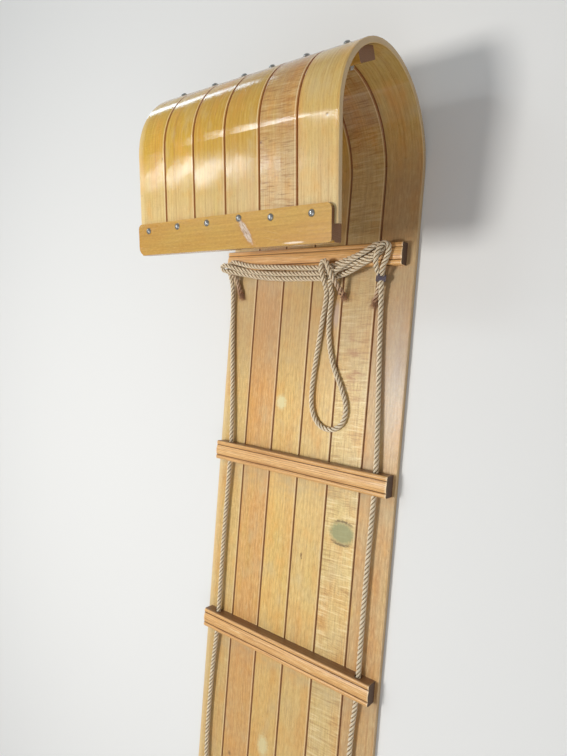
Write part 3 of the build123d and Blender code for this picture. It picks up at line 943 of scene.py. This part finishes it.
# Open-grained crossbars: lines along the bar, dark end grain, pale worn end edges
def makeCrossbarMaterial(look):
    material, wires, shader = newMaterial("crossbarWood")
    (x, y, z), (normalX, normalY, unused) = placeAndFacing(wires)
    leaning = z * 0.75 + x * 0.006
    grain = wires.use(grainGroup, {"Along": x, "Across": y, "Depth": leaning, "Seed": 3.3})
    streak, fibre = grain["Streak"], grain["Fibre"]
    drift = wires.noise((x * 5.0, y * 40.0, z * 40.0), 2.0)
    ring = (y + leaning) * 330.0 + drift * 3.0
    lines = wires.math("FRACT", ring) ** 2.2
    breaks = wires.noise((x * 9.0, ring * 0.7, 2.0), 3.0, 0.7)
    colour = wires.mix(grain["Blotch"].rise(0.38, 0.70, 0.45), look["base"], (216, 158, 84))

    # the front bar sits a little to the left of the others
    fromMiddle = abs(x - wires.between(y > frontY - 0.1, barX[3], barX[1]))
    facing = abs(normalX)
    endMask = facing.rise(0.80, 0.92) * (fromMiddle > look["endFace"])
    between = 1.0 - endMask
    pores = wires.noise((0.0, y * 1100.0, z * 700.0), 3.0)
    endColour = wires.mix(pores.rise(0.35, 0.65), look["endDark"], look["endPale"])
    # the rope holes are painted dark inside as shade, with a rubbed brown ring round them
    hole = fromMiddleOf(abs(fromMiddle - holeReach), z - holeZ)
    fromAxis = reduce(smaller, [abs(y - middle) for middle in barY.values()])
    grooveIn, grooveOut = (fromAxis.rise(*ends) for ends in look["groove"])
    beadPatches = wires.noise((x * 24.0, y * 420.0, 8.0), 4.0, 0.65)
    colour = wires.layered(colour, [
        (lines * breaks.span(0.30, 0.62, 0.25, 0.90), look["dark"]),
        (streak.rise(0.52, 0.70, 0.55), look["dark"]),
        (streak.rise(0.46, 0.28, 0.35), (244, 202, 134)),
        (fibre.rise(0.58, 0.74, 0.55), look["line"]),
        (grain["Fleck"] * 0.5, look["line"]),
        (fromMiddle.rise(*look["endEdge"]) * facing.rise(0.6, 0.4) * 0.7, (238, 212, 170)),
        (endMask, endColour),
        (hole.rise(*look["holeRing"], 0.45), (132, 86, 48)),
        # painted shade inside the rope hole
        (hole.rise(*look["holeInside"], 0.85), look["holeBrown"]),
        # painted shade in the grooves of the moulding
        (grooveIn * grooveOut * between * 0.62, look["line"]),
        # pale wear and a painted highlight on the middle bead
        (beadPatches.rise(0.50, 0.66) * fromAxis.rise(*look["rubbedTop"]) * between * 0.55, look["worn"]),
        (normalY.rise(0.55, 0.85, 0.80) * between, look["shadeBrown"]),
        # painted shade along the bar's foot, where it meets the deck
        (z.rise(deckTop + 0.0035, deckTop, 0.6), (112, 74, 44)),
    ])
    rough = streak.span(0.3, 0.7, 0.36, 0.52) + endMask * 0.3
    height = streak * 0.6 - lines * 0.5 - grain["Fleck"] * 0.6 + fibre * 0.4
    wires.fill(shader, {"Base Color": colour, "Roughness": rough.clamped(), "Coat Weight": between * 0.25,
                        "Coat Roughness": 0.22, "Normal": wires.bump(height, 0.7)})
    return material


noseLook = {
    "base": (192, 152, 72),
    "amber": (190, 136, 52),
    "brown": (134, 87, 42),
    "endDark": (104, 66, 36),
    "endPale": (142, 98, 58),
    # middle across the sled and along its length, half width and half length, of the scuff and the chip
    "scuff": (0.0465, 0.6380, 0.0070, 0.0185),
    "chip": (0.1345, 0.6172, 0.0190, 0.0014),
}


# Nose board and its bars: golden lacquer, grain across the sled, one bare scuff, rubbed long edge
def makeNoseMaterial(look):
    material, wires, shader = newMaterial("noseWood")
    (x, y, z), (normalX, unused, normalZ) = placeAndFacing(wires)
    grain = wires.use(grainGroup, {"Along": x, "Across": y, "Depth": z, "Seed": 31.7})
    blotch, streak, fibre = grain["Blotch"], grain["Streak"], grain["Fibre"]
    mottle = wires.noise((x * 160.0, y * 330.0, 12.0), 4.0, 0.65)

    leaning = x + (y - look["scuff"][1]) * 0.62
    outside = normalZ.rise(0.85, 0.95)
    scuff = spotAt(wires, leaning, y, look["scuff"], 1.0, 0.25)
    scuffMask = scuff["Mask"] * outside
    fibres = wires.noise((leaning * 700.0, y * 120.0, 6.0), 3.0)
    chip = spotAt(wires, x, y, look["chip"], 0.9, 0.3)["Mask"]
    endMask = abs(normalX).rise(0.80, 0.92)
    pores = wires.noise((0.0, y * 1100.0, z * 1100.0), 3.0)
    scratches = wires.use(scratchGroup, {"X": y, "Along": x})["Mask"]
    colour = wires.mix(blotch.rise(0.36, 0.68, 0.75), look["base"], look["amber"])
    colour = wires.layered(colour, [
        (streak.rise(0.50, 0.74, 0.26), look["brown"]),
        (streak.rise(0.46, 0.26, 0.22), (236, 200, 118)),
        (grain["Growth"] * 0.12, look["brown"]),
        (mottle.rise(0.50, 0.70, 0.20), look["brown"]),
        (mottle.rise(0.48, 0.30, 0.16), (240, 208, 130)),
        (fibre.rise(0.55, 0.76, 0.30), look["brown"]),
        (grain["Fleck"] * 0.4, (104, 66, 34)),
        (scuff["Distance"].rise(1.5, 1.0) * outside * 0.35, (176, 116, 62)),
        (scuffMask * 0.92, wires.mix(fibres.rise(0.38, 0.62), (150, 116, 88), (226, 212, 196))),
        (chip * 0.85, (240, 222, 196)),
        (endMask, wires.mix(pores.rise(0.35, 0.65), look["endDark"], look["endPale"])),
        (scratches * 0.30, (236, 214, 168)),
    ])
    bare = larger(scuffMask, endMask)
    rough = blotch.span(0.3, 0.7, 0.20, 0.30) + bare * 0.35
    coat = (1.0 - bare) * 0.1
    height = streak * 0.4 + fibre * 0.3 - scuffMask * 1.1 - scratches * 0.3
    wires.fill(shader, {"Base Color": colour, "Roughness": rough.clamped(), "Coat Weight": coat.clamped(),
                        "Coat Roughness": 0.15, "Normal": wires.bump(height, 0.6)})
    return material


ropeLook = {
    "crown": (255, 241, 212),
    "middle": (232, 201, 150),
    "groove": (72, 48, 32),
    "dirt": (180, 139, 90),
    "fray": (168, 108, 62),
    "yarns": 7.0,
    "yarnTurn": 0.016,
}


# Natural fibre rope: yarns slanting round each strand, painted shade in the grooves between them, brown
# frayed ends
def makeRopeMaterial(look):
    material, wires, shader = newMaterial("naturalRope")
    along, turn, unused = wires.split(wires.add("UVMap", uv_map="surface"))
    outward = wires.add("Attribute", output="Fac", attribute_name="outward")
    ending = wires.add("Attribute", output="Fac", attribute_name="ending")
    slant = turn * look["yarns"] - along / look["yarnTurn"]
    yarn = abs(wires.math("SINE", slant * pi))
    fibres = wires.noise((slant * 6.0, along * 260.0, 0.0), 3.0, 0.65)
    patches = wires.noise((along * 42.0, turn * 2.0, 5.0), 3.0)
    # painted shade: darker towards the grooves between the strands and between the yarns, palest on the
    # strands' crowns
    colour = wires.layered(wires.mix(outward.rise(0.54, 0.84), look["groove"], look["middle"]), [
        (outward.rise(0.72, 0.95), look["crown"]),
        (fibres.rise(0.46, 0.70, 0.55), look["dirt"]),
        (fibres.rise(0.42, 0.26, 0.45), (246, 238, 220)),
        (yarn.rise(0.35, 0.0, 0.50), look["groove"]),
        (patches.rise(0.52, 0.72, 0.35), look["dirt"]),
        (ending * 0.85, look["fray"]),
    ])
    wires.fill(shader, {"Base Color": colour, "Roughness": fibres.span(0.3, 0.7, 0.62, 0.85),
                        "Sheen Weight": 0.15, "Normal": wires.bump(yarn + fibres * 0.7, 0.9)})
    return material


# Dark cloth tape: a fine weave, dull, with pale dust on its ridges
def makeTapeMaterial():
    material, wires, shader = newMaterial("clothTape")
    x, y, z = wires.split(wires.add("TexCoord", output="Object"))
    weave = wires.math("SINE", y * 9000.0) * wires.math("SINE", (x + z) * 7000.0)
    wear = wires.noise((x * 420.0, y * 420.0, z * 420.0), 4.0, 0.6)
    colour = wires.mix(weave.rise(-0.5, 1.0, 0.4), (92, 82, 92), (122, 112, 124))
    colour = wires.mix(wear.rise(0.52, 0.72, 0.55), colour, (158, 150, 150))
    wires.fill(shader, {"Base Color": colour, "Roughness": wear.span(0.3, 0.7, 0.50, 0.72),
                        "Normal": wires.bump(weave + wear * 2.0, 0.6, 0.0003)})
    return material


# Bright plated steel, dulled in spots; a cross recess and a ring round the head are painted dark as shade
# where the UV map is centred on a screw head
def makeSteelMaterial(name, recess):
    material, wires, shader = newMaterial(name)
    x, y, z = wires.split(wires.add("TexCoord", output="Object"))
    spots = wires.noise((x * 700.0, y * 700.0, z * 700.0), 4.0, 0.6)
    colour = wires.mix(spots.rise(0.50, 0.68) * 0.55, (184, 184, 180), (116, 106, 94))
    rough = spots.span(0.3, 0.7, 0.18, 0.42)
    height = spots * 0.3
    if recess:
        across, over, unused = wires.split(wires.add("UVMap", uv_map="surface"))
        a, b = abs(across), abs(over)
        arm = (smaller(a, b) < 0.11) * (larger(a, b) < 0.55)
        ring = fromMiddleOf(a, b).rise(0.86, 0.96)
        # painted shade in the cross recess and round the head
        colour = wires.mix(larger(arm, ring * 0.6), colour, (48, 38, 30))
        height = height - arm
        rough = (rough + 0.14).clamped()
    wires.fill(shader, {"Base Color": colour, "Roughness": rough, "Metallic": 1.0,
                        "Normal": wires.bump(height, 0.5, 0.0002)})
    return material


noseWood = makeNoseMaterial(noseLook)
materials = {
    "slat": makeSlatMaterial(slatLook),
    "crossbar": makeCrossbarMaterial(crossbarLook),
    "nose": noseWood,
    "crest_bar": noseWood,
    "tape": makeTapeMaterial(),
    "rope": makeRopeMaterial(ropeLook),
    "bolt": makeSteelMaterial("boltSteel", False),
    "screw": makeSteelMaterial("screwSteel", True),
}
for name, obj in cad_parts.items():
    chosen = next((made for start, made in materials.items() if name.startswith(start)), materials["rope"])
    for slot in obj.material_slots:
        slot.material = chosen
for made in ropes.values():
    for piece in [made["rope"], *made["ends"]]:
        piece.data.materials.append(materials["rope"])
print("materials made")

# Bolts, nuts and screws
fasteners = {
    "boltHead": [(0.0, 0.0033), (0.0016, 0.0032), (0.0030, 0.0028), (0.0042, 0.0020), (0.0050, 0.0010),
                 (0.0053, 0.0002), (0.0052, -0.0002), (0.0, -0.0003)],
    "washer": [(0.0, 0.0010), (0.0056, 0.0010), (0.0059, 0.0007), (0.0059, 0.0), (0.0, 0.0)],
    "nut": [(0.0, 0.0042), (0.0036, 0.0042), (0.0046, 0.0036), (0.0046, 0.0), (0.0, 0.0)],
    "boltEnd": [(0.0, 0.0066), (0.0018, 0.0064), (0.0024, 0.0058), (0.0024, 0.0040), (0.0, 0.0040)],
    "screwHead": [(0.0, 0.00016), (0.0030, 0.00014), (0.0038, 0.00008), (0.0040, -0.0001), (0.0, -0.0002)],
    # across the sled, where the nose board's and the crest bar's bolts are
    "noseBolts": ((-0.174, 0.1265), (-0.102, 0.1240), (-0.034, 0.1240), (0.033, 0.1222), (0.094, 0.1258),
                  (0.165, 0.1262)),
    "crestBoltX": (-0.165, -0.090, -0.024, 0.033, 0.098, 0.167),
    "boardThickness": 0.0070,
    "noseBarThickness": 0.0080,
    "crestAngle": radians(60),
    "crestBarThickness": 0.0180,
    "clearance": 0.0002,
    "washerThickness": 0.001,
    "screwSway": 0.003,
}


# A turned shape on its own axis: radius * (cos a, sin a), height; UV is x and y over the largest radius
def turnedShape(profile, sides):
    radii, heights = np.array(profile).T
    angle = np.linspace(0, 2 * pi, sides, endpoint=False)
    inner = slice(1, len(profile) - 1)
    rings = np.stack([np.outer(radii[inner], np.cos(angle)), np.outer(radii[inner], np.sin(angle)),
                      np.repeat(heights[inner][:, None], sides, axis=1)], axis=-1)
    points = np.concatenate([rings.reshape(-1, 3), [(0, 0, heights[0]), (0, 0, heights[-1])]])
    count = len(radii) - 2
    i, k = np.meshgrid(np.arange(count - 1), np.arange(sides), indexing="ij")
    near, far = i * sides + k, i * sides + (k + 1) % sides
    quads = np.stack([near, near + sides, far + sides, far], axis=-1).reshape(-1, 4).tolist()
    edge = np.arange(sides)
    following = np.roll(edge, -1)
    topPole, bottomPole = len(points) - 2, len(points) - 1
    caps = [(int(a), int(b), topPole) for a, b in zip(edge, following)]
    low = (count - 1) * sides
    caps += [(int(b) + low, int(a) + low, bottomPole) for a, b in zip(edge, following)]
    return points, quads + caps, points[:, :2] / radii.max()


# Copies of turned shapes at a table of places, each standing on its place along an axis, as one mesh
def placedShapes(name, rows, material, smooth=True):
    points, faces, uv, shift = [], [], [], 0
    for (shapePoints, shapeFaces, shapeUv), place, axis, turn in rows:
        up = Vector(axis).normalized()
        turned = up.to_track_quat("Z", "Y").to_matrix() @ Matrix.Rotation(turn, 3, "Z")
        points.append(shapePoints @ np.array(turned).T + np.array(place))
        faces += [tuple(v + shift for v in face) for face in shapeFaces]
        uv.append(shapeUv)
        shift += len(shapePoints)
    obj = meshPiece(name, np.concatenate(points), faces, np.concatenate(uv), smooth=smooth)
    obj.data.materials.append(material)
    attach(obj, "root")
    return obj


# A point of the lip: along it from the end of the upper arc, and outward from the slats' face
def lipPoint(x, along, out):
    slope, radius = sledShape["lipSlope"], sledShape["upperRadius"]
    startY = sledShape["noseY"] - radius - radius * sin(slope)
    startZ = sledShape["lowerRadius"] + radius * cos(slope)
    return (x, startY - along * cos(slope) - out * sin(slope), startZ - along * sin(slope) + out * cos(slope))


def crestPoint(x, radius):
    angle = fasteners["crestAngle"]
    return (x, sledShape["noseY"] - sledShape["upperRadius"] + radius * sin(angle),
            sledShape["lowerRadius"] + radius * cos(angle))


sidesOf = {"boltHead": 28, "washer": 28, "nut": 6, "boltEnd": 16, "screwHead": 20}
shapes = {name: turnedShape(fasteners[name], sides) for name, sides in sidesOf.items()}
lipUp = (0.0, -sin(sledShape["lipSlope"]), cos(sledShape["lipSlope"]))
crestUp = (0.0, sin(fasteners["crestAngle"]), cos(fasteners["crestAngle"]))
noseIn = -(sledShape["slatThickness"] + fasteners["noseBarThickness"])
crestIn = (sledShape["upperRadius"] - sledShape["slatThickness"] - fasteners["crestBarThickness"]
           - fasteners["clearance"])
washer = fasteners["washerThickness"]
lipSeats = (fasteners["boardThickness"], noseIn, noseIn - washer)
crestSeats = (sledShape["upperRadius"], crestIn, crestIn - washer)
# each bolt: the way that its head faces, then the seats of its head, its washer and its nut
bolts = [(lipUp, *(lipPoint(x, along, out) for out in lipSeats)) for x, along in fasteners["noseBolts"]]
bolts += [(crestUp, *(crestPoint(x, radius) for radius in crestSeats)) for x in fasteners["crestBoltX"]]
draw = np.random.default_rng(41)
heads = [(shapes["boltHead"], headSeat, up, draw.uniform(0, 6)) for up, headSeat, *unused in bolts]
washers, nuts = [], []
for up, unused, washerSeat, nutSeat in bolts:
    down = tuple(-v for v in up)
    washers.append((shapes["washer"], washerSeat, down, 0.0))
    nuts += [(shapes["nut"], nutSeat, down, draw.uniform(0, 1)), (shapes["boltEnd"], nutSeat, down, 0.0)]
placedShapes("boltHeads", heads, materials["bolt"])
placedShapes("washers", washers, materials["bolt"])
placedShapes("nuts", nuts, materials["bolt"], smooth=False)
sway = fasteners["screwSway"]
screws = []
for number, slat in product(range(1, 6), range(6)):
    x = (slat - 2.5) * sledShape["slatPitch"] + draw.uniform(-sway, sway)
    y = barY[number] + draw.uniform(-sway, sway)
    screws.append((shapes["screwHead"], (x, y, 0.0), (0.0, 0.0, -1.0), draw.uniform(0, 6)))
placedShapes("deckScrews", screws, materials["screw"])
print("fasteners made")

# Floor, lights and world
studio = {
    "floorHalf": 60.0,
    "floorHeight": -0.0008,
    "floorColour": (226, 225, 222),
    "floorRoughness": 0.85,
    "worldColour": (0.93, 0.96, 1.0, 1.0),
    "worldStrength": 0.35,
}
corners = np.array([(-1, -1), (1, -1), (1, 1), (-1, 1)]) * studio["floorHalf"]
floor = meshPiece("floor", np.column_stack([corners, np.full(4, studio["floorHeight"])]), [(0, 1, 2, 3)],
                  smooth=False)
floorMaterial, floorWires, floorShader = newMaterial("studioFloor")
floorWires.fill(floorShader, {"Base Color": tint(*studio["floorColour"]),
                              "Roughness": studio["floorRoughness"]})
floor.data.materials.append(floorMaterial)


# A rectangular light that looks at a target, turned about its line of sight by a lengthwise direction
def areaLight(name, place, target, size, power, colour, lengthwise=None, spread=pi, diffuse=True,
              glossy=True):
    data = bpy.data.lights.new(name, "AREA")
    data.shape = "RECTANGLE"
    data.size, data.size_y = size
    data.energy = power
    data.color = colour
    data.spread = spread
    light = linked(bpy.data.objects.new(name, data))
    way = Vector(target) - Vector(place)
    turned = way.to_track_quat("-Z", "Y").to_matrix()
    if lengthwise:
        back = -way.normalized()
        long = (Vector(lengthwise) - back * back.dot(Vector(lengthwise))).normalized()
        turned = Matrix((long, back.cross(long), back)).transposed()
    light.matrix_world = Matrix.Translation(place) @ turned.to_4x4()
    light.visible_diffuse = diffuse
    light.visible_glossy = glossy


key = {"place": (-0.85, 0.12, 2.50), "target": (0, 0.24, 0.1), "size": (0.5, 0.5)}
lamps = {
    # the key's reflection is a lamp of its own, less strong than its light
    "key": {**key, "power": 44, "colour": (1.0, 0.985, 0.96), "glossy": False},
    "keyGlare": {**key, "power": 21, "colour": (0.96, 0.98, 1.0), "diffuse": False},
    "fill": {"place": (2.40, -2.10, 2.90), "target": (0, 0.3, 0), "size": (2.5, 2.5),
             "power": 34, "colour": (0.97, 0.98, 1.0)},
    # narrow lamps give the lacquer its highlights: a row low on the lip, a band over it and the crest's glare
    "lipStrip": {"place": (-2.94, 1.19, 3.10), "target": (-0.05, 0.74, 0.26), "size": (1.0, 0.09),
                 "power": 4.2, "colour": (0.88, 0.95, 1.0), "lengthwise": (1, 0, 0)},
    "bandStrip": {"place": (-1.90, 1.62, 3.10), "target": (0.12, 0.785, 0.264), "size": (0.98, 0.34),
                  "power": 14, "colour": (0.86, 0.94, 1.0), "lengthwise": (1.11, -0.33, 0)},
    "crestGlare": {"place": (-1.25, 1.95, 0.11), "target": (-0.12, 0.867, 0.24), "size": (0.7, 0.18),
                   "power": 0.065, "colour": (0.66, 0.84, 1.0), "spread": radians(30)},
}
for name, lamp in lamps.items():
    areaLight(name, **lamp)
world = bpy.data.worlds.new("studio")
bpy.context.scene.world = world
world.use_nodes = True
background = world.node_tree.nodes["Background"].inputs
background["Color"].default_value = studio["worldColour"]
background["Strength"].default_value = studio["worldStrength"]
bpy.context.scene.view_settings.view_transform = "Standard"
